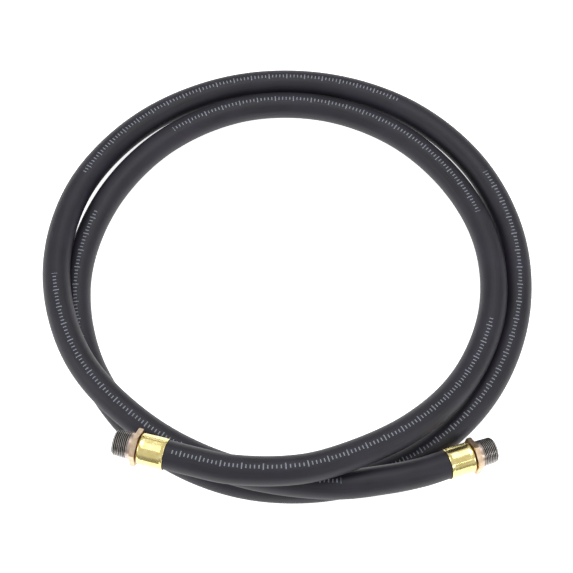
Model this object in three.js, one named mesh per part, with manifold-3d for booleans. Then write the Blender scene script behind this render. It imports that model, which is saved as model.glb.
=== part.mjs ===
// A rubber fuel hose lying in two and a bit loose turns, with a crimped male coupling on each end.
// Millimetres, +Z up. It lies on the floor at Z = 0, with both couplings on the near side, at -Y.
import * as THREE from "three";
import { mergeVertices } from "three/addons/utils/BufferGeometryUtils.js";
import Module from "manifold-3d";

const wasm = await Module();
wasm.setup();
const radians = THREE.MathUtils.degToRad;

// Clearances
const TOUCH = 0.3; // between pieces that touch on the real hose
const END_SPACE = 0.6; // from the hose's cut end to the floor of the ferrule
const JOIN = 0.5; // how far fused shapes run into each other
const WELD = 1e-4; // points closer than this are one

// Hose
const HOSE_OUTER_D = 28.5;
const HOSE_BORE_D = 19.05; // 3/4 in
const HOSE_SIDES = 12;
const HOSE_STEPS = 80;
const ROUTE_DIVISIONS = 2000; // for measuring along the route

// Ferrule: a cup on the hose's end, open towards the hose
const FERRULE_LENGTH = 26;
const FERRULE_WALL = 0.7;
const FERRULE_FLOOR = 1.2;
const FERRULE_SHOULDER_R = 1.6;
const SHOULDER_STEPS = 4;

// Threaded end: a tail in the hose, a hex collar, a plain neck and a tapered male thread, all round one bore
const THROAT_D = 15;
const TAIL_START = 3; // from the ferrule's mouth to the inner end of the tail
const COLLAR_SPACE = 0.9; // between ferrule and collar
const COLLAR_ACROSS_FLATS = 32;
const COLLAR_THICKNESS = 5;
const COLLAR_CHAMFER = 1;
const NECK_D = 25.9;
const NECK_LENGTH = 4;
const THREAD_LENGTH = 15.3;
const THREAD_D = 26.67; // 3/4-14 NPT, over the crests at the neck
const THREAD_PITCH = 25.4 / 14;
const THREAD_DEPTH = 0.8 * THREAD_PITCH;
const THREAD_TAPER = 1 / 32; // fall of the radius along the length
const TIP_CHAMFER = 1.3;
const SPARE_TURNS = 1.5; // of thread at each end, cut off with the blank
const ROUND_SEGMENTS = 32;
const THREAD_SEGMENTS = 28;

// Lengths along a coupling, from the ferrule's mouth outwards
const HOSE_END = FERRULE_LENGTH - FERRULE_FLOOR - END_SPACE;
const COLLAR_START = FERRULE_LENGTH + COLLAR_SPACE;
const COLLAR_END = COLLAR_START + COLLAR_THICKNESS;
const THREAD_START = COLLAR_END + NECK_LENGTH;
const TIP = THREAD_START + THREAD_LENGTH;

// Radii
const HOSE_R = HOSE_OUTER_D / 2;
const THROAT_R = THROAT_D / 2;
const TAIL_R = HOSE_BORE_D / 2 * Math.cos(Math.PI / HOSE_SIDES) - TOUCH;
const FERRULE_INNER_R = HOSE_R + TOUCH;
const FERRULE_OUTER_R = FERRULE_INNER_R + FERRULE_WALL;
const COLLAR_CORNER_R = COLLAR_ACROSS_FLATS / Math.sqrt(3);
const NECK_R = NECK_D / 2;
const THREAD_R = THREAD_D / 2;

// Route. The hose goes round this centre, in turns whose smallest radius this is. Each station is a turn
// angle in degrees and two counts of hose diameters: how far it is outside the smallest turn, and how far it
// is above lying on the floor. So strands that lie beside or on each other stay one diameter apart.
const COIL_CENTRE_X = 15.4;
const COIL_CENTRE_Y = -5.8;
const COIL_INNER_R = 199.5;
const STATIONS = [
  [-107.4, 1.36, 2.04], [-94.5, 1.07, 2.1], [-84, 0.77, 1.91],
  [-60, 0.3, 1.42], [-36, 0.09, 0.72], [-12, 0.02, 0.49],
  [12, 0, 0.25], [36, 0.04, 0.05], [60, 0.21, 0.01], [84, 0.44, 0.02], [108, 0.7, 0.04],
  [132, 0.93, 0], [156, 1.12, 0], [180, 1.33, 0], [204, 1.4, 0], [228, 1.37, 0],
  [252, 1.19, 0], [276, 1.02, 0], [300, 0.93, 0], [324, 0.91, 0], [348, 0.93, 0],
  [372, 1.04, 0], [396, 1.18, 0.02], [420, 1.33, 0.02], [444, 1.51, 0], [468, 1.79, 0],
  [492, 2.07, 0.07], [516, 2.18, 0.35], [540, 2.02, 0.75], [564, 1.72, 1], [588, 1.25, 1.02],
  [612, 1.07, 1.02], [636, 1.25, 1], [649, 1.46, 0.92],
];
const STRAIGHT_LEAD = 26; // straight hose before each ferrule

// Couplings: where the ferrule's mouth is, which way the coupling points, and how its collar is turned.
// The left coupling lies along a strand, but beside its top, which lowers the coupling by LEFT_ASIDE.
// The right coupling reaches out over the strand that its hose lies on.
const LEFT_ASIDE = 8.2;
const LEFT = { angle: -121.92, out: 1.753, up: 1.53, heading: 164.7, droop: 2.7, roll: -18.5 };
const RIGHT = { angle: -56.56, out: 1.847, up: 0.65, heading: 20, droop: 7.3, roll: 24.5 };
LEFT.height = HOSE_R + LEFT.up * HOSE_OUTER_D + COLLAR_CORNER_R - LEFT_ASIDE;
RIGHT.height = HOSE_R + RIGHT.up * HOSE_OUTER_D;

const materials = {
  rubber: new THREE.MeshStandardMaterial({ color: 0x2b2a2d, roughness: 0.55, metalness: 0 }),
  brass: new THREE.MeshStandardMaterial({ color: 0xd8bf5f, roughness: 0.22, metalness: 1 }),
  bronze: new THREE.MeshStandardMaterial({ color: 0xb59a8a, roughness: 0.35, metalness: 1 }),
};

function coilPoint(turnAngle, out, height) {
  const a = radians(turnAngle);
  const radius = COIL_INNER_R + out * HOSE_OUTER_D;
  return new THREE.Vector3(
    COIL_CENTRE_X + radius * Math.cos(a), COIL_CENTRE_Y + radius * Math.sin(a), height);
}

function mouth(place) {
  return coilPoint(place.angle, place.out, place.height);
}

function outward(place) {
  const heading = radians(place.heading);
  const droop = radians(place.droop);
  return new THREE.Vector3(
    Math.cos(droop) * Math.cos(heading), Math.cos(droop) * Math.sin(heading), -Math.sin(droop));
}

// Points on a coupling's axis: the hose's cut end, the ferrule's mouth and the start of the straight lead
function straightEnd(place) {
  return [HOSE_END, 0, -STRAIGHT_LEAD].map((u) => mouth(place).addScaledVector(outward(place), u));
}

function hoseRoute() {
  const turns = STATIONS.map(([turnAngle, out, up]) => coilPoint(turnAngle, out, HOSE_R + up * HOSE_OUTER_D));
  const points = [...straightEnd(LEFT), ...turns, ...straightEnd(RIGHT).reverse()];
  const route = new THREE.CatmullRomCurve3(points, false, "centripetal");
  route.arcLengthDivisions = ROUTE_DIVISIONS;
  return route;
}

function polygon(radius, sides) {
  return Array.from({ length: sides }, (_, i) => {
    const a = 2 * Math.PI * i / sides;
    return new THREE.Vector2(radius * Math.cos(a), radius * Math.sin(a));
  });
}

function hoseGeometry() {
  const section = new THREE.Shape(polygon(HOSE_R, HOSE_SIDES));
  section.holes.push(new THREE.Path(polygon(HOSE_BORE_D / 2, HOSE_SIDES)));
  return new THREE.ExtrudeGeometry(section, { steps: HOSE_STEPS, extrudePath: hoseRoute() });
}

// Turns a closed profile of [radius, length along the coupling] pairs round the coupling's axis, +Z.
function turned(profile, segments = ROUND_SEGMENTS) {
  const points = [...profile, profile[0]].map(([r, u]) => new THREE.Vector2(r, u));
  return new THREE.LatheGeometry(points, segments).rotateX(Math.PI / 2);
}

function quarterRound(centreR, centreU, radius, steps) {
  return Array.from({ length: steps + 1 }, (_, i) => {
    const a = Math.PI / 2 * i / steps;
    return [centreR + radius * Math.cos(a), centreU + radius * Math.sin(a)];
  });
}

function ferruleGeometry() {
  const holeR = TAIL_R + TOUCH;
  const shoulderR = FERRULE_OUTER_R - FERRULE_SHOULDER_R;
  const shoulderU = FERRULE_LENGTH - FERRULE_SHOULDER_R;
  const shoulder = quarterRound(shoulderR, shoulderU, FERRULE_SHOULDER_R, SHOULDER_STEPS);
  return turned([
    [FERRULE_INNER_R, 0],
    [FERRULE_OUTER_R, 0],
    ...shoulder,
    [holeR, FERRULE_LENGTH],
    [holeR, FERRULE_LENGTH - FERRULE_FLOOR],
    [FERRULE_INNER_R, FERRULE_LENGTH - FERRULE_FLOOR],
  ]);
}

function toSolid(geometry) {
  const bare = geometry.clone();
  bare.deleteAttribute("normal");
  bare.deleteAttribute("uv");
  const merged = mergeVertices(bare, WELD);
  return new wasm.Manifold(new wasm.Mesh({
    numProp: 3,
    vertProperties: merged.attributes.position.array,
    triVerts: new Uint32Array(merged.index.array),
  }));
}

function toGeometry(solid) {
  const mesh = solid.getMesh();
  const geometry = new THREE.BufferGeometry();
  geometry.setAttribute("position", new THREE.BufferAttribute(new Float32Array(mesh.vertProperties), 3));
  geometry.setIndex(new THREE.BufferAttribute(new Uint32Array(mesh.triVerts), 1));
  geometry.computeVertexNormals();
  return geometry;
}

// A rod with a sharp V thread, longer than the thread that is cut from it. Rows of points follow the helix,
// a root and a crest by turns, so the last point of one row is the first point two rows on.
function threadRod() {
  const rows = 2 * Math.ceil(THREAD_LENGTH / THREAD_PITCH + 2 * SPARE_TURNS);
  const start = THREAD_START - SPARE_TURNS * THREAD_PITCH;
  const positions = [];
  const point = (row, i) => {
    const u = start + THREAD_PITCH * (row / 2 + i / THREAD_SEGMENTS);
    const crest = THREAD_R - THREAD_TAPER * (u - THREAD_START);
    const r = row % 2 ? crest : crest - THREAD_DEPTH;
    const a = 2 * Math.PI * i / THREAD_SEGMENTS;
    return [r * Math.cos(a), r * Math.sin(a), u];
  };
  for (let row = 0; row < rows + 2; row++)
    for (let i = 0; i < THREAD_SEGMENTS; i++) positions.push(...point(row, i));
  const at = (row, i) => i < THREAD_SEGMENTS ? row * THREAD_SEGMENTS + i : (row + 2) * THREAD_SEGMENTS;
  const faces = [];
  for (let row = 0; row + 1 < rows; row++)
    for (let i = 0; i < THREAD_SEGMENTS; i++) {
      faces.push(at(row, i), at(row, i + 1), at(row + 1, i));
      faces.push(at(row, i + 1), at(row + 1, i + 1), at(row + 1, i));
    }
  // Each end is a fan from a point on the axis, round one turn of the helix and back down its step.
  const fan = (row, flip) => {
    const rim = Array.from({ length: THREAD_SEGMENTS + 1 }, (_, i) => at(row, i));
    rim.push(at(row + 1, 0));
    const centre = positions.length / 3;
    positions.push(0, 0, start + THREAD_PITCH * (row / 2 + 0.5));
    rim.forEach((a, i) => {
      const b = rim[(i + 1) % rim.length];
      faces.push(...(flip ? [centre, b, a] : [centre, a, b]));
    });
  };
  fan(0, true);
  fan(rows - 1, false);
  const geometry = new THREE.BufferGeometry();
  geometry.setAttribute("position", new THREE.BufferAttribute(new Float32Array(positions), 3));
  geometry.setIndex(faces);
  return geometry;
}

// What turning leaves of the rod: a run-out at the neck, the chamfered tip and the bore.
function threadBlank() {
  const tipR = THREAD_R - THREAD_TAPER * THREAD_LENGTH - TIP_CHAMFER;
  const clearR = THREAD_R + JOIN;
  return turned([
    [THROAT_R, THREAD_START - JOIN],
    [NECK_R, THREAD_START - JOIN],
    [NECK_R, THREAD_START],
    [clearR, THREAD_START + clearR - NECK_R],
    [clearR, TIP - (clearR - tipR)],
    [tipR, TIP],
    [THROAT_R, TIP],
  ]);
}

function collarBlank() {
  const chamferU = COLLAR_CHAMFER / 2;
  const hex = new THREE.Shape(polygon(COLLAR_CORNER_R, 6));
  const prism = new THREE.ExtrudeGeometry(hex, { depth: COLLAR_THICKNESS, bevelEnabled: false });
  prism.translate(0, 0, COLLAR_START);
  const chamfers = turned([
    [THROAT_R, COLLAR_START],
    [COLLAR_CORNER_R - COLLAR_CHAMFER, COLLAR_START],
    [COLLAR_CORNER_R, COLLAR_START + chamferU],
    [COLLAR_CORNER_R, COLLAR_END - chamferU],
    [COLLAR_CORNER_R - COLLAR_CHAMFER, COLLAR_END],
    [THROAT_R, COLLAR_END],
  ]);
  return toSolid(prism).intersect(toSolid(chamfers));
}

function threadedEndGeometry() {
  const core = turned([
    [THROAT_R, TAIL_START],
    [TAIL_R, TAIL_START],
    [TAIL_R, COLLAR_START + JOIN],
    [NECK_R, COLLAR_START + JOIN],
    [NECK_R, THREAD_START + JOIN],
    [THROAT_R, THREAD_START + JOIN],
  ]);
  const thread = toSolid(threadRod()).intersect(toSolid(threadBlank()));
  return toGeometry(toSolid(core).add(collarBlank()).add(thread));
}

// A coupling is made along +Z from the ferrule's mouth, then stood at its end of the hose.
function coupling(side, place, ferrule, threadedEnd) {
  const group = new THREE.Group();
  const along = outward(place);
  const across = new THREE.Vector3(0, 0, 1).cross(along).normalize();
  const upward = along.clone().cross(across);
  group.quaternion.setFromRotationMatrix(new THREE.Matrix4().makeBasis(across, upward, along));
  group.rotateZ(radians(place.roll));
  group.position.copy(mouth(place));
  group.add(named("ferrule_" + side, ferrule, materials.brass));
  group.add(named("threaded_end_" + side, threadedEnd, materials.bronze));
  return group;
}

function named(name, geometry, material) {
  const mesh = new THREE.Mesh(geometry, material);
  mesh.name = name;
  return mesh;
}

const ferrule = ferruleGeometry();
const threadedEnd = threadedEndGeometry();
const part = new THREE.Group();
part.add(named("hose", hoseGeometry(), materials.rubber));
part.add(coupling("left", LEFT, ferrule, threadedEnd));
part.add(coupling("right", RIGHT, ferrule, threadedEnd));

export default part;
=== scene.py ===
# %% [markdown]
# A fuel hose lies on a white floor in two and a bit loose turns. It is black nitrile rubber, with a
# coupling crimped on each end: a bright brass ferrule, a bronze-coloured hex collar and a silvery male
# pipe thread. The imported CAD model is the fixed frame. Every piece here is made fine enough for a close
# look, in the place that the frame gives it.

# %% Load the frame
import math

import bmesh
import bpy
from mathutils import Matrix, Vector


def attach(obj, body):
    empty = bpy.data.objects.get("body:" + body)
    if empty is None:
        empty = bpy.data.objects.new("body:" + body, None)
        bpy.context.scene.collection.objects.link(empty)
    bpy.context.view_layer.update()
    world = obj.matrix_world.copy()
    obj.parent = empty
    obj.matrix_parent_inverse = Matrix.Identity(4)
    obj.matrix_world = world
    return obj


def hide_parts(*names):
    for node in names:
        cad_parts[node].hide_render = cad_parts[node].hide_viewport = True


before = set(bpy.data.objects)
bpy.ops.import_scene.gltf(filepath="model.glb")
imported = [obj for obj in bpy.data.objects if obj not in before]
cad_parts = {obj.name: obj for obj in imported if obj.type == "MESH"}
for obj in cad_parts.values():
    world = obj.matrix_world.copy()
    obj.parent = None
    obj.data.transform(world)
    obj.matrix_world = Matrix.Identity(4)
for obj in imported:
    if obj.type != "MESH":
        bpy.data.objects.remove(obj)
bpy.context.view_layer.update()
MM = 0.001
print("nodes:", sorted(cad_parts))

# %% [markdown]
# Real sizes come first. They are the ones that the CAD model is made from, in millimetres, so that a
# piece that replaces a CAD node fits where the node was. Lengths along a coupling start at the ferrule's
# mouth.

# %% Sizes of the hose and the couplings
HOSE_D = 28.5
HOSE_R = HOSE_D / 2
BORE_R = 19.05 / 2
FERRULE_LENGTH = 26
FERRULE_FLOOR = 1.2
FERRULE_WALL = 0.7
END_SPACE = 0.6
TOUCH = 0.3
HOSE_END = FERRULE_LENGTH - FERRULE_FLOOR - END_SPACE
FERRULE_INNER_R = HOSE_R + TOUCH
FERRULE_OUTER_R = FERRULE_INNER_R + FERRULE_WALL
THROAT_R = 7.5
TAIL_R = 8.9
TAIL_START = 3
COLLAR_SPACE = 0.9
COLLAR_THICKNESS = 5
COLLAR_ACROSS_FLATS = 32
COLLAR_START = FERRULE_LENGTH + COLLAR_SPACE
COLLAR_END = COLLAR_START + COLLAR_THICKNESS
COLLAR_CORNER_R = COLLAR_ACROSS_FLATS / math.sqrt(3)
NECK_R = 25.9 / 2
NECK_LENGTH = 4
THREAD_LENGTH = 15.3
THREAD_START = COLLAR_END + NECK_LENGTH
TIP = THREAD_START + THREAD_LENGTH
THREAD_R = 26.67 / 2
THREAD_PITCH = 25.4 / 14
THREAD_DEPTH = 0.8 * THREAD_PITCH
THREAD_TAPER = 1 / 32

# %% [markdown]
# The camera stands where the photograph was taken from: high above the near side, looking down at 65
# degrees. A long lens keeps the coil nearly round. The lens is worked out from the photograph's width in
# pixels.

# %% Camera
PHOTO_SIDE_PX = 573
FOCAL_PX = 1333
ELEVATION = math.radians(65)
CAMERA_DISTANCE = 1.420
CAMERA_TARGET = Vector((-0.0019, -0.00895, -0.00025))

camera_data = bpy.data.cameras.new("camera")
camera_data.sensor_width = 36
camera_data.lens = camera_data.sensor_width * FOCAL_PX / PHOTO_SIDE_PX
camera = bpy.data.objects.new("camera", camera_data)
bpy.context.scene.collection.objects.link(camera)
towards_camera = Vector((0, -math.cos(ELEVATION), math.sin(ELEVATION)))
camera.location = CAMERA_TARGET + CAMERA_DISTANCE * towards_camera
camera.rotation_euler = (math.pi / 2 - ELEVATION, 0, 0)
bpy.context.scene.camera = camera
print("lens", round(camera_data.lens, 1), "mm")

# %% [markdown]
# The route is the hose's centreline. A stiff rubber hose keeps a wide, even curve, so a few stations to a
# turn and a smooth spline through them are enough. Each station is a turn angle in degrees and two
# lengths in hose diameters: how far out from the innermost line it is, and how far up from lying on the
# floor. The hose goes round twice: first inside, then outside, then over itself again. A coupling's mouth
# is placed in the same way, with the heading and the droop that the coupling points in, and the roll of
# its collar.

# %% Route of the hose
COIL_CENTRE = Vector((15.4, -5.8))
COIL_INNER_R = 199.5
STATIONS = [
    (-107.4, 1.36, 2.04), (-94.5, 1.07, 2.1), (-84, 0.77, 1.91), (-60, 0.3, 1.42), (-36, 0.09, 0.72),
    (-12, 0.02, 0.49), (12, 0, 0.25), (36, 0.04, 0.05), (60, 0.21, 0.01), (84, 0.44, 0.02),
    (108, 0.7, 0.04), (132, 0.93, 0), (156, 1.12, 0), (180, 1.33, 0), (204, 1.4, 0),
    (228, 1.37, 0), (252, 1.19, 0), (276, 1.02, 0), (300, 0.93, 0), (324, 0.91, 0),
    (348, 0.93, 0), (372, 1.04, 0), (396, 1.18, 0.02), (420, 1.33, 0.02), (444, 1.51, 0),
    (468, 1.79, 0), (492, 2.07, 0.07), (516, 2.18, 0.35), (540, 2.02, 0.75), (564, 1.72, 1),
    (588, 1.25, 1.02), (612, 1.07, 1.02), (636, 1.25, 1), (649, 1.46, 0.92),
]
STRAIGHT_LEAD = 26
LEFT_ASIDE = 8.2
LEFT = {"angle": -121.92, "out": 1.753, "up": 1.53, "heading": 164.7, "droop": 2.7, "roll": -18.5}
RIGHT = {"angle": -56.56, "out": 1.847, "up": 0.65, "heading": 20, "droop": 7.3, "roll": 24.5}
# The left coupling lies along a strand, but beside its top, which lowers the coupling.
LEFT["height"] = HOSE_R + LEFT["up"] * HOSE_D + COLLAR_CORNER_R - LEFT_ASIDE
RIGHT["height"] = HOSE_R + RIGHT["up"] * HOSE_D


def coil_point(angle, out, height):
    a = math.radians(angle)
    radius = COIL_INNER_R + out * HOSE_D
    x = COIL_CENTRE.x + radius * math.cos(a)
    y = COIL_CENTRE.y + radius * math.sin(a)
    return Vector((x, y, height)) * MM



def outward(place):
    heading, droop = math.radians(place["heading"]), math.radians(place["droop"])
    level = math.cos(droop)
    return Vector((level * math.cos(heading), level * math.sin(heading), -math.sin(droop)))


def mouth(place):
    return coil_point(place["angle"], place["out"], place["height"])


def straight_end(place):
    return [mouth(place) + outward(place) * u * MM for u in (HOSE_END, 0, -STRAIGHT_LEAD)]


def smooth_line(points, per_span):
    """A centripetal Catmull-Rom spline through the points, with the ends carried on straight."""
    ends = [2 * points[0] - points[1], *points, 2 * points[-1] - points[-2]]
    line = []
    for a, b, c, d in zip(ends, ends[1:], ends[2:], ends[3:]):
        ab, bc, cd = (math.sqrt((q - p).length) for p, q in ((a, b), (b, c), (c, d)))
        leave = ((b - a) / ab - (c - a) / (ab + bc) + (c - b) / bc) * bc
        arrive = ((c - b) / bc - (d - b) / (bc + cd) + (d - c) / cd) * bc
        for i in range(per_span):
            t = i / per_span
            square = (3 * (c - b) - 2 * leave - arrive) * t**2
            cube = (2 * (b - c) + leave + arrive) * t**3
            line.append(b + leave * t + square + cube)
    return [*line, points[-1]]


turns = [coil_point(angle, out, HOSE_R + up * HOSE_D) for angle, out, up in STATIONS]
route = [*straight_end(LEFT), *turns, *reversed(straight_end(RIGHT))]
fine_line = smooth_line(route, 40)
distances = [0.0]
for p, q in zip(fine_line, fine_line[1:]):
    distances.append(distances[-1] + (q - p).length)
HOSE_LENGTH = distances[-1]
print("hose length", round(HOSE_LENGTH, 3), "m")

# %% [markdown]
# A hose is a round section carried along its route. Each ring stands square to the line, with its own top
# always at the top, so the section never twists and print along the top stays there. Rings are 5 mm
# apart, which is finer than the eye can follow on a curve this wide.

# %% Evenly spaced rings along the hose
RING_STEP = 0.005
ring_count = round(HOSE_LENGTH / RING_STEP)


def line_point(s):
    """The centreline's point at a length s from the left end, between two points of the fine line."""
    low, high = 0, len(distances) - 1
    while high - low > 1:
        middle = (low + high) // 2
        low, high = (middle, high) if distances[middle] <= s else (low, middle)
    t = (s - distances[low]) / (distances[high] - distances[low])
    return fine_line[low].lerp(fine_line[high], t)


def ring_matrix(s):
    """Stands a flat ring at s: its X points out of the coil, its Y up, and its Z back along the hose."""
    reach = 0.002
    ahead = line_point(min(s + reach, HOSE_LENGTH)) - line_point(max(s - reach, 0))
    along = ahead.normalized()
    out = along.cross(Vector((0, 0, 1))).normalized()
    up = out.cross(along)
    turned = Matrix((out, up, -along)).transposed()
    return Matrix.Translation(line_point(s)) @ turned.to_4x4()


rings = [ring_matrix(HOSE_LENGTH * i / ring_count) for i in range(ring_count + 1)]
print(len(rings), "rings")

# %% [markdown]
# Every new piece ends the same way: its mesh goes into an object that sits at the origin, so that its
# place is in its mesh. Smooth shading with a sharp-edge angle keeps turned corners crisp.

# %% Finish a piece
SHARP_ANGLE = math.radians(35)


def piece(name, bm, *materials):
    mesh = bpy.data.meshes.new(name)
    bm.to_mesh(mesh)
    bm.free()
    mesh.shade_smooth()
    mesh.set_sharp_from_angle(angle=SHARP_ANGLE)
    for material in materials:
        mesh.materials.append(material)
    made = bpy.data.objects.new(name, mesh)
    bpy.context.scene.collection.objects.link(made)
    print(name, len(mesh.polygons), "faces")
    return made


# %% [markdown]
# Colours are picked as sRGB hex values, as they look on a screen, and Blender's shaders want linear
# light. One small function turns the one into the other, and another adds a node with its settings and
# links.

# %% Colour and node helpers
def linear(hex_colour):
    channels = [int(hex_colour[i : i + 2], 16) / 255 for i in (1, 3, 5)]
    return (*(c / 12.92 if c <= 0.04045 else ((c + 0.055) / 1.055) ** 2.4 for c in channels), 1)


def add(tree, kind, inputs=None, **settings):
    """Adds one node. A value in inputs is a number, a colour, or another node's output to link."""
    node = tree.nodes.new(kind)
    for key, value in settings.items():
        setattr(node, key, value)
    for key, value in (inputs or {}).items():
        if isinstance(value, bpy.types.NodeSocket):
            tree.links.new(value, node.inputs[key])
        else:
            node.inputs[key].default_value = value
    return node


def shaded(tree, value, low, high, colours):
    """Goes from the first colour to the second as the value goes from low to high."""
    span = {"Value": value, "From Min": low, "From Max": high}
    factor = add(tree, "ShaderNodeMapRange", span).outputs["Result"]
    first, second = (linear(c) if isinstance(c, str) else c for c in colours)
    blend = {"Factor": factor, "A": first, "B": second}
    return add(tree, "ShaderNodeMix", blend, data_type="RGBA").outputs["Result"]


def new_material(name):
    material = bpy.data.materials.new(name)
    material.use_nodes = True
    shader = material.node_tree.nodes["Principled BSDF"]
    return material, material.node_tree, shader


# %% [markdown]
# A hose has a printed line along its top, put on by a wheel of dots while the rubber passes. Here it
# holds only a plain scale: a tick at every 4 mm and a taller one at every 20 mm, in stretches with bare
# rubber between. The hose's UV map places it, where U is metres along the hose and V is metres round it,
# with the top halfway round.

# %% Printed scale
TICK_PERIOD, TALL_PERIOD, STRETCH_PERIOD, DOT_PERIOD = 0.004, 0.020, 0.53, 0.0009
TICK_WIDTH, STRETCH_LENGTH, DOT_WIDTH = 0.0011, 0.40, 0.0006
FIRST_STRETCH_MIDDLE = 0.23
TICK_HALF_HEIGHT, TALL_HALF_HEIGHT = 0.0018, 0.0031
INK_COVER = 0.7


def near_multiple(tree, value, period, width):
    """Is 1 where the value lies within half the width of a multiple of the period, and 0 elsewhere."""
    away = add(tree, "ShaderNodeMath", {0: value, 1: period / 2}, operation="PINGPONG").outputs["Value"]
    return add(tree, "ShaderNodeMath", {0: away, 1: width / 2}, operation="LESS_THAN").outputs["Value"]


def both(tree, a, b):
    return add(tree, "ShaderNodeMath", {0: a, 1: b}, operation="MULTIPLY").outputs["Value"]


def printed_scale(tree, place):
    split = add(tree, "ShaderNodeSeparateXYZ", {"Vector": place})
    along, round_it = split.outputs["X"], split.outputs["Y"]
    rows = []
    for period, half_height in ((TICK_PERIOD, TICK_HALF_HEIGHT), (TALL_PERIOD, TALL_HALF_HEIGHT)):
        near_top = {0: round_it, 1: math.pi * HOSE_R * MM, 2: half_height}
        band = add(tree, "ShaderNodeMath", near_top, operation="COMPARE").outputs["Value"]
        rows.append(both(tree, band, near_multiple(tree, along, period, TICK_WIDTH)))
    ticks = add(tree, "ShaderNodeMath", {0: rows[0], 1: rows[1]}, operation="MAXIMUM").outputs["Value"]
    offset = {0: along, 1: FIRST_STRETCH_MIDDLE}
    from_first = add(tree, "ShaderNodeMath", offset, operation="SUBTRACT").outputs["Value"]
    ticks = both(tree, ticks, near_multiple(tree, from_first, STRETCH_PERIOD, STRETCH_LENGTH))
    ticks = both(tree, ticks, near_multiple(tree, round_it, DOT_PERIOD, DOT_WIDTH))
    return both(tree, ticks, INK_COVER)


# %% [markdown]
# The hose is extruded nitrile rubber, cured in steam under a wrap. That leaves it near black with a cold,
# faintly purple cast and satin, with faint streaks drawn out along its length, a little grey bloom and a
# fine grain. The patterns follow the hose, so they read its UV map too.

# %% Rubber
def rubber_material():
    material, tree, shader = new_material("cured nitrile rubber")
    place = add(tree, "ShaderNodeUVMap", uv_map="hose").outputs["UV"]
    # Streaks are about 1.5 mm wide and 60 mm long.
    space = add(tree, "ShaderNodeMapping", {"Vector": place, "Scale": (16, 650, 1)}).outputs["Vector"]
    streaks = add(tree, "ShaderNodeTexNoise", {"Vector": space, "Scale": 1, "Detail": 3}).outputs["Fac"]
    # Bloom is cloudy, about 40 mm across.
    space = add(tree, "ShaderNodeMapping", {"Vector": place, "Scale": (25, 25, 1)}).outputs["Vector"]
    bloom = add(tree, "ShaderNodeTexNoise", {"Vector": space, "Scale": 1, "Detail": 4}).outputs["Fac"]
    # The real grain is finer than a render pixel, so it is drawn at 0.8 mm.
    space = add(tree, "ShaderNodeMapping", {"Vector": place, "Scale": (1250, 1250, 1)}).outputs["Vector"]
    grain = add(tree, "ShaderNodeTexNoise", {"Vector": space, "Scale": 1, "Detail": 2}).outputs["Fac"]
    streaked = shaded(tree, streaks, 0.35, 0.65, ("#18171d", "#211f28"))
    cloudy = shaded(tree, bloom, 0.4, 0.8, (streaked, "#282530"))
    colour = shaded(tree, printed_scale(tree, place), 0, 1, (cloudy, "#aab2c2"))
    gloss_span = {"Value": bloom, "To Min": 0.46, "To Max": 0.6}
    roughness = add(tree, "ShaderNodeMapRange", gloss_span).outputs["Result"]
    height = add(tree, "ShaderNodeMath", {0: streaks, 1: grain}, operation="ADD").outputs["Value"]
    relief = {"Height": height, "Strength": 0.25, "Distance": 0.0002}
    bump = add(tree, "ShaderNodeBump", relief).outputs["Normal"]
    tree.links.new(colour, shader.inputs["Base Color"])
    tree.links.new(roughness, shader.inputs["Roughness"])
    tree.links.new(bump, shader.inputs["Normal"])
    shader.inputs["IOR"].default_value = 1.52
    shader.inputs["Specular IOR Level"].default_value = 0.35
    return material


rubber = rubber_material()

# %% [markdown]
# A polished brass shell is drawn from sheet and crimped. Polishing leaves it mirror-like, with a faint
# haze and hair lines round it. Metal shows mostly what is around it, so its own colour is pale and the
# lights give the bands.

# %% Brass
def brass_material():
    material, tree, shader = new_material("polished drawn brass")
    place = add(tree, "ShaderNodeTexCoord").outputs["Object"]
    # Handling haze comes in patches about 6 mm across.
    haze = add(tree, "ShaderNodeTexNoise", {"Vector": place, "Scale": 160, "Detail": 3}).outputs["Fac"]
    colour = shaded(tree, haze, 0.35, 0.7, ("#e9d68a", "#f4e4a6"))
    gloss_span = {"Value": haze, "To Min": 0.14, "To Max": 0.26}
    roughness = add(tree, "ShaderNodeMapRange", gloss_span).outputs["Result"]
    tree.links.new(colour, shader.inputs["Base Color"])
    tree.links.new(roughness, shader.inputs["Roughness"])
    shader.inputs["Metallic"].default_value = 1
    return material


brass = brass_material()

# %% [markdown]
# The collar is machined from bar and left as turned. Its brass has tarnished to a pinkish bronze, satin
# rather than bright.

# %% Bronze-coloured collar
def bronze_material():
    material, tree, shader = new_material("turned brass gone bronze")
    place = add(tree, "ShaderNodeTexCoord").outputs["Object"]
    # Tarnish comes in patches about 5 mm across.
    tarnish = add(tree, "ShaderNodeTexNoise", {"Vector": place, "Scale": 200, "Detail": 4}).outputs["Fac"]
    colour = shaded(tree, tarnish, 0.35, 0.65, ("#c0a68c", "#d9c4a8"))
    gloss_span = {"Value": tarnish, "To Min": 0.28, "To Max": 0.42}
    roughness = add(tree, "ShaderNodeMapRange", gloss_span).outputs["Result"]
    tree.links.new(colour, shader.inputs["Base Color"])
    tree.links.new(roughness, shader.inputs["Roughness"])
    shader.inputs["Metallic"].default_value = 1
    return material


bronze = bronze_material()
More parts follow.
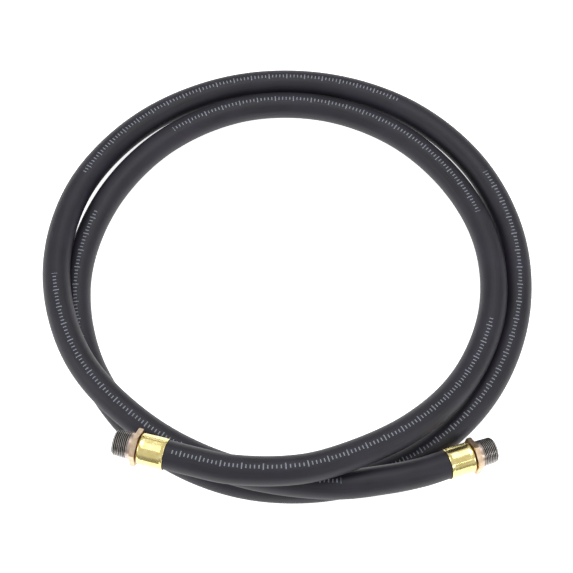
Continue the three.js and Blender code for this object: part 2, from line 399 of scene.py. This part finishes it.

# %% [markdown]
# The thread is freshly cut, so it is brighter than the collar and reads as silver-grey. Its grooves get
# painted shade, darker towards the root, and the collar's tarnish runs on over the neck. Two values that
# each point of
# the mesh carries tell where that is: how deep in a groove it is, and how far along the thread in
# millimetres.

# %% Silvery thread
def thread_material():
    material, tree, shader = new_material("cut thread, silvery")
    place = add(tree, "ShaderNodeTexCoord").outputs["Object"]
    # Tool marks vary over about 3 mm.
    marks = add(tree, "ShaderNodeTexNoise", {"Vector": place, "Scale": 330, "Detail": 3}).outputs["Fac"]
    groove = add(tree, "ShaderNodeAttribute", attribute_name="groove").outputs["Fac"]
    along = add(tree, "ShaderNodeAttribute", attribute_name="along").outputs["Fac"]
    crests = shaded(tree, marks, 0.35, 0.65, ("#b5b2b0", "#d2cfcc"))
    tarnished = shaded(tree, along, -3.5, 1.5, ("#c4a590", crests))
    # Painted shade: the deeper a point lies in a groove, the darker it is, down to near black at the root.
    colour = shaded(tree, groove, 0.15, 0.75, (tarnished, "#26231f"))
    gloss_span = {"Value": marks, "To Min": 0.25, "To Max": 0.4}
    roughness = add(tree, "ShaderNodeMapRange", gloss_span).outputs["Result"]
    tree.links.new(colour, shader.inputs["Base Color"])
    tree.links.new(roughness, shader.inputs["Roughness"])
    shader.inputs["Metallic"].default_value = 1
    return material


silver = thread_material()

# %% [markdown]
# The hose tube starts as a ring-shaped face between two circles, for the wall. Extruding that face from
# ring to ring draws the whole tube, with its bore and both cut ends. Each old front is taken out again,
# so that the wall is solid rubber with nothing inside it.

# %% Hose tube
HOSE_SIDES = 48
SIDE_WIDTH = 2 * math.pi * HOSE_R * MM / HOSE_SIDES


def hose_tube():
    bm = bmesh.new()
    ring_of = bm.verts.layers.int.new("ring")
    for r in (HOSE_R, BORE_R):
        bmesh.ops.create_circle(bm, segments=HOSE_SIDES, radius=r * MM)
    bmesh.ops.bridge_loops(bm, edges=bm.edges)
    bmesh.ops.transform(bm, matrix=rings[0], verts=bm.verts)
    front = list(bm.faces)
    for i in range(1, len(rings)):
        grown = bmesh.ops.extrude_face_region(bm, geom=front)["geom"]
        if i > 1:
            bmesh.ops.delete(bm, geom=front, context="FACES")
        front = [g for g in grown if isinstance(g, bmesh.types.BMFace)]
        verts = [g for g in grown if isinstance(g, bmesh.types.BMVert)]
        bmesh.ops.transform(bm, matrix=rings[i] @ rings[i - 1].inverted(), verts=verts)
        for v in verts:
            v[ring_of] = i
    bmesh.ops.recalc_face_normals(bm, faces=bm.faces)
    return bm


def side_of(v, ring_of):
    """Which side of the section a vertex is on, counted from the underside, where the map's seam lies."""
    flat = rings[v[ring_of]].inverted() @ v.co
    return round((math.atan2(flat.y, flat.x) / math.tau + 0.25) * HOSE_SIDES) % HOSE_SIDES


def map_hose(bm):
    uv = bm.loops.layers.uv.new("hose")
    ring_of = bm.verts.layers.int["ring"]
    sides = {v: side_of(v, ring_of) for v in bm.verts}
    for face in bm.faces:
        on_seam = {sides[v] for v in face.verts} == {0, HOSE_SIDES - 1}
        for loop in face.loops:
            side = sides[loop.vert]
            side = HOSE_SIDES if on_seam and side == 0 else side
            loop[uv].uv = (loop.vert[ring_of] * HOSE_LENGTH / ring_count, side * SIDE_WIDTH)


hose_bm = hose_tube()
map_hose(hose_bm)
hose = piece("rubber_hose", hose_bm, rubber)
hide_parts("hose")

# %% [markdown]
# The coupling pieces are made standing on the origin, their length along Z, and are then carried to their
# end of the hose. The frame of each end is the same as in the CAD model, with the collar turned so that a
# flat faces up and towards the near side.

# %% Where each coupling stands
def coupling_matrix(place):
    along = outward(place)
    across = Vector((0, 0, 1)).cross(along).normalized()
    upward = along.cross(across)
    turned = Matrix((across, upward, along)).transposed().to_4x4()
    roll = Matrix.Rotation(math.radians(place["roll"]), 4, "Z")
    return Matrix.Translation(mouth(place)) @ turned @ roll @ Matrix.Scale(MM, 4)


COUPLINGS = {"left": coupling_matrix(LEFT), "right": coupling_matrix(RIGHT)}

# %% [markdown]
# Turned parts come from a lathe, and a spin is the lathe here. The outline is a closed loop of points,
# each a radius and a length, and the spin sweeps it once round.

# %% Turning
TURN_STEPS = 96


def quarter_round(centre_r, centre_u, radius, steps):
    turns = [math.pi / 2 * i / steps for i in range(steps + 1)]
    return [(centre_r + radius * math.cos(a), centre_u + radius * math.sin(a)) for a in turns]


def turned(outline):
    bm = bmesh.new()
    verts = [bm.verts.new((r, 0, u)) for r, u in outline]
    edges = [bm.edges.new(pair) for pair in zip(verts, verts[1:] + verts[:1])]
    bmesh.ops.spin(
        bm, geom=verts + edges, cent=(0, 0, 0), axis=(0, 0, 1), dvec=(0, 0, 0), angle=math.tau,
        steps=TURN_STEPS, use_merge=True, use_normal_flip=False, use_duplicate=False,
    )
    bmesh.ops.remove_doubles(bm, verts=bm.verts, dist=1e-4)
    bmesh.ops.recalc_face_normals(bm, faces=bm.faces)
    return bm


def set_radius(v, r):
    factor = r / math.hypot(v.co.x, v.co.y)
    v.co.x *= factor
    v.co.y *= factor


# %% [markdown]
# The ferrule is a thin brass cup drawn from sheet, open towards the hose, with a rounded shoulder and a
# floor that the tail passes through. Eight jaws press it onto the rubber. They leave eight shallow flats
# with soft ridges between, which is what breaks up the reflections into bands along it.

# %% Ferrules
SHOULDER_R = 1.6
MOUTH_BEVEL = 0.25
JAWS = 8
CRIMP_DEPTH = 0.45
CRIMP_START, CRIMP_END, CRIMP_FADE = 1.2, 23.4, 1.6
WALL_START, WALL_STEP, WALL_ROWS = 0.5, 0.8, 30


def crimp(u, angle):
    """How far the jaws press the shell in at a length and an angle, in millimetres."""
    edge = min(u - CRIMP_START, CRIMP_END - u) / CRIMP_FADE
    ridge = abs(math.cos(angle * JAWS / 2)) ** 10
    return CRIMP_DEPTH * max(0, min(1, edge)) * (1 - ridge)


def ferrule():
    wall = [(FERRULE_OUTER_R, WALL_START + WALL_STEP * i) for i in range(WALL_ROWS)]
    shoulder = quarter_round(FERRULE_OUTER_R - SHOULDER_R, FERRULE_LENGTH - SHOULDER_R, SHOULDER_R, 6)
    hole_r = TAIL_R + TOUCH
    bm = turned([
        (FERRULE_INNER_R, MOUTH_BEVEL),
        (FERRULE_INNER_R + MOUTH_BEVEL, 0),
        (FERRULE_OUTER_R - MOUTH_BEVEL, 0),
        (FERRULE_OUTER_R, MOUTH_BEVEL),
        *wall,
        *shoulder,
        (hole_r, FERRULE_LENGTH),
        (hole_r, FERRULE_LENGTH - FERRULE_FLOOR),
        (FERRULE_INNER_R, FERRULE_LENGTH - FERRULE_FLOOR),
    ])
    for v in bm.verts:
        r = math.hypot(v.co.x, v.co.y)
        if r > FERRULE_OUTER_R - 0.01:
            set_radius(v, r - crimp(v.co.z, math.atan2(v.co.y, v.co.x)))
    return bm


for side, place in COUPLINGS.items():
    bm = ferrule()
    bmesh.ops.transform(bm, matrix=place, verts=bm.verts)
    made = piece("brass_ferrule_" + side, bm, brass)
    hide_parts("ferrule_" + side)
    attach(made, "root")

# %% [markdown]
# A pipe thread is a V groove wound round a slightly tapered rod. A spin with a rise at each step winds
# one pitch of the outline up the rod, and merging joins each turn to the next. Then the tip is chamfered,
# so that it starts in its socket, and the last turn fades out into the plain neck, as a die leaves it.

# %% Thread
THREAD_STEPS = 72
TIP_CHAMFER = 1.3
CREST_FLAT = 0.16
RUN_OUT = 1.1


def thread_rod():
    bm = bmesh.new()
    low = THREAD_START - 2 * THREAD_PITCH
    half, flat = THREAD_PITCH / 2, CREST_FLAT / 2
    outline = [(-THREAD_DEPTH, 0), (0, half - flat), (0, half + flat), (-THREAD_DEPTH, THREAD_PITCH)]
    verts = [bm.verts.new((THREAD_R + r, 0, low + u)) for r, u in outline]
    edges = [bm.edges.new(pair) for pair in zip(verts, verts[1:])]
    turns = math.ceil((TIP - low) / THREAD_PITCH) + 1
    bmesh.ops.spin(
        bm, geom=verts + edges, cent=(0, 0, 0), axis=(0, 0, 1), dvec=(0, 0, THREAD_PITCH / THREAD_STEPS),
        angle=math.tau * turns, steps=THREAD_STEPS * turns, use_merge=False, use_normal_flip=False,
        use_duplicate=False,
    )
    bmesh.ops.remove_doubles(bm, verts=bm.verts, dist=1e-3)
    for level, side in ((THREAD_START - 0.5, -1), (TIP, 1)):
        cut = bmesh.ops.bisect_plane(
            bm, geom=[*bm.verts, *bm.edges, *bm.faces], plane_co=(0, 0, level), plane_no=(0, 0, side),
            clear_outer=True,
        )["geom_cut"]
        rim = [g for g in cut if isinstance(g, bmesh.types.BMEdge)]
        bmesh.ops.edgeloop_fill(bm, edges=rim)
    for v in bm.verts:
        u = v.co.z - THREAD_START
        r = math.hypot(v.co.x, v.co.y) - THREAD_TAPER * u
        r = max(r, NECK_R - 0.05 - RUN_OUT * max(u, 0))
        set_radius(v, min(r, THREAD_R - THREAD_TAPER * (TIP - THREAD_START) - TIP_CHAMFER + TIP - v.co.z))
    bmesh.ops.recalc_face_normals(bm, faces=bm.faces)
    return bm


# %% [markdown]
# The rest of the threaded end is a plain turning: a tail that holds the hose from inside, a hex collar
# for the spanner and a neck. The collar is a six-sided prism, and a chamfered disc takes off its corners
# at both faces, as a lathe does to hex bar. Solid shapes are joined and cut as real machining does it,
# with booleans, and the throat is drilled last.

# %% Threaded ends
COLLAR_CHAMFER = 1.0
DRILL_MARGIN = 1


def collar_disc():
    r = COLLAR_CORNER_R
    return turned([
        (0.1, COLLAR_START), (r - COLLAR_CHAMFER, COLLAR_START), (r + 0.2, COLLAR_START + 0.6),
        (r + 0.2, COLLAR_END - 0.6), (r - COLLAR_CHAMFER, COLLAR_END), (0.1, COLLAR_END),
    ])


def hex_prism():
    bm = bmesh.new()
    bmesh.ops.create_cone(
        bm, segments=6, radius1=COLLAR_CORNER_R, radius2=COLLAR_CORNER_R, depth=COLLAR_END - COLLAR_START,
        cap_ends=True,
    )
    bmesh.ops.rotate(bm, cent=(0, 0, 0), matrix=Matrix.Rotation(math.radians(30), 3, "Z"), verts=bm.verts)
    bmesh.ops.translate(bm, vec=(0, 0, (COLLAR_START + COLLAR_END) / 2), verts=bm.verts)
    return bm


def tail_and_neck():
    return turned([
        (0.1, TAIL_START), (TAIL_R, TAIL_START), (TAIL_R, COLLAR_START + 1), (NECK_R, COLLAR_START + 1),
        (NECK_R, THREAD_START + 0.2), (NECK_R - 0.4, THREAD_START + 0.6), (0.1, THREAD_START + 0.6),
    ])


def drill():
    return turned([
        (0.05, TAIL_START - DRILL_MARGIN), (THROAT_R, TAIL_START - DRILL_MARGIN), (THROAT_R, TIP - 0.5),
        (THROAT_R + 0.5 + DRILL_MARGIN, TIP + DRILL_MARGIN), (0.05, TIP + DRILL_MARGIN),
    ])


def machined(name, bm, steps, *materials):
    """Joins, cuts or trims the first shape with each of the others in turn, and gives what is left."""
    base = piece(name, bm, *materials)
    tools = []
    for i, (operation, tool_bm) in enumerate(steps):
        tool = piece(f"{name}_step_{i}", tool_bm, *materials)
        modifier = base.modifiers.new(operation, "BOOLEAN")
        modifier.operation, modifier.object, modifier.solver = operation, tool, "EXACT"
        tools.append(tool)
    done = bmesh.new()
    done.from_object(base, bpy.context.evaluated_depsgraph_get())
    for used in (base, *tools):
        bpy.data.objects.remove(used)
    return done


def with_material(bm, index):
    for face in bm.faces:
        face.material_index = index
    return bm


def threaded_end():
    finishes = (bronze, silver)
    collar = machined("collar", with_material(hex_prism(), 0), [("INTERSECT", collar_disc())], *finishes)
    steps = [
        ("UNION", with_material(tail_and_neck(), 1)),
        ("UNION", collar),
        ("DIFFERENCE", with_material(drill(), 1)),
    ]
    return machined("threaded_end", with_material(thread_rod(), 1), steps, *finishes)


def mark_grooves(bm):
    """Writes on each point its depth in a groove, from 0 on a crest to 1 in a root, and its length along."""
    groove = bm.verts.layers.float.new("groove")
    along = bm.verts.layers.float.new("along")
    for v in bm.verts:
        u = v.co.z - THREAD_START
        r = math.hypot(v.co.x, v.co.y)
        depth = (THREAD_R - THREAD_TAPER * u - r) / THREAD_DEPTH
        v[groove] = max(0, min(1, depth)) if u > 0 and r > THROAT_R + 1 else 0
        v[along] = u


end_shape = threaded_end()
mark_grooves(end_shape)
for side, place in COUPLINGS.items():
    bm = end_shape.copy()
    bmesh.ops.transform(bm, matrix=place, verts=bm.verts)
    made = piece("machined_end_" + side, bm, bronze, silver)
    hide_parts("threaded_end_" + side)
    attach(made, "root")
end_shape.free()

# %% [markdown]
# A light studio floor and soft light from all round suit a black hose, because its shape shows only in
# its sheen. The big lamp overhead gives the broad sheen, and the side lamps give the brass its bright
# bands. The sky is darker low down, so the brass has something dark to mirror too.

# %% Floor
def floor_material():
    material, tree, shader = new_material("white studio paper")
    shader.inputs["Base Color"].default_value = linear("#ffffff")
    shader.inputs["Roughness"].default_value = 0.9
    shader.inputs["Emission Color"].default_value = linear("#ffffff")
    shader.inputs["Emission Strength"].default_value = 0.85
    return material


floor_bm = bmesh.new()
bmesh.ops.create_grid(floor_bm, x_segments=1, y_segments=1, size=4)
floor = piece("floor", floor_bm, floor_material())

# %% Lights
def lamp(name, size, watts, place, colour="#ffffff"):
    data = bpy.data.lights.new(name, "AREA")
    data.shape, data.size, data.energy = "SQUARE", size, watts
    data.color = linear(colour)[:3]
    made = bpy.data.objects.new(name, data)
    made.location = place
    made.rotation_euler = Vector(place).to_track_quat("Z", "Y").to_euler()
    bpy.context.scene.collection.objects.link(made)
    return made


lamp("overhead", 1.2, 14, (0.2, 0.5, 1.9))
lamp("left", 0.8, 8, (-1.6, -0.4, 1.0))
lamp("right", 0.5, 5, (1.5, -0.9, 0.9))

world = bpy.data.worlds.new("studio")
world.use_nodes = True
bpy.context.scene.world = world
sky = world.node_tree
direction = add(sky, "ShaderNodeTexCoord").outputs["Generated"]
height = add(sky, "ShaderNodeSeparateXYZ", {"Vector": direction}).outputs["Z"]
low_to_high = {"Value": height, "From Min": 0.05, "From Max": 0.45, "To Min": 0.12, "To Max": 0.75}
strength = add(sky, "ShaderNodeMapRange", low_to_high).outputs["Result"]
sky.nodes["Background"].inputs["Color"].default_value = linear("#ffffff")
sky.links.new(strength, sky.nodes["Background"].inputs["Strength"])
bpy.context.scene.view_settings.view_transform = "Standard"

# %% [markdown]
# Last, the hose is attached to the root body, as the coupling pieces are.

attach(hose, "root")
